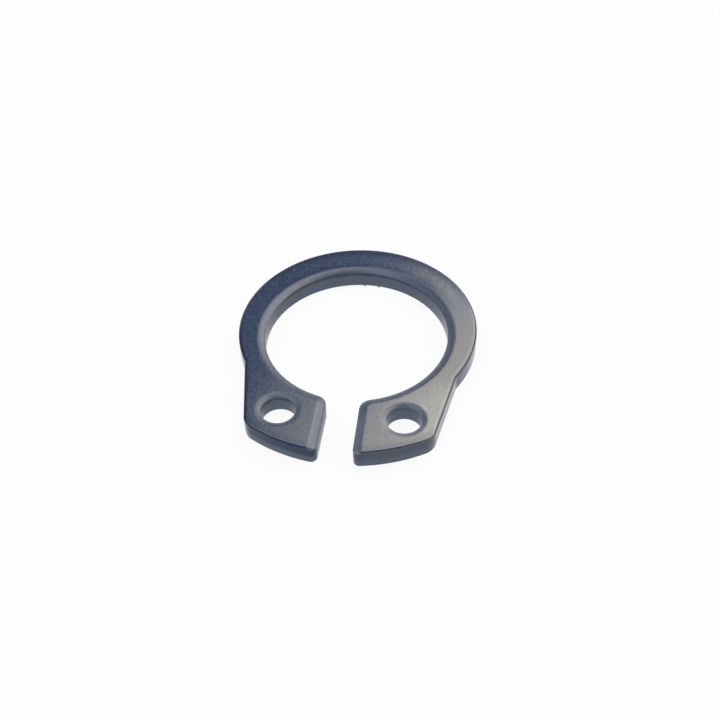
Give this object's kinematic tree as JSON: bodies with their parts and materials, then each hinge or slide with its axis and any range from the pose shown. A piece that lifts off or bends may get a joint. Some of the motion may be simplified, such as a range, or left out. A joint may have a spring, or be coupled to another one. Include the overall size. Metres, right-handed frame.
{
  "type": "circlip retaining ring",
  "caption": "External circlip for a shaft groove: an open spring-steel ring whose band tapers from the rear to lugs with plier holes on each side of its opening, and rolled upper edges.",
  "frame": {"origin": "middle of the bore, in the plane of the sharp underside that the ring lies on", "axes": "+Z along the bore, out of the upper side with the rolled edges; -Y through the middle of the opening between the lugs, +Y through the widest place of the band; +X to the right lug as seen from above with the opening towards the viewer"},
  "size_m": [0.0122, 0.0145, 0.001],
  "materials": {
    "blackened_spring_steel": "satin, phosphated and oiled dark blue-grey"
  },
  "bodies": {
    "root": {"retaining_ring": "blackened_spring_steel"}
  },
  "joints": []
}
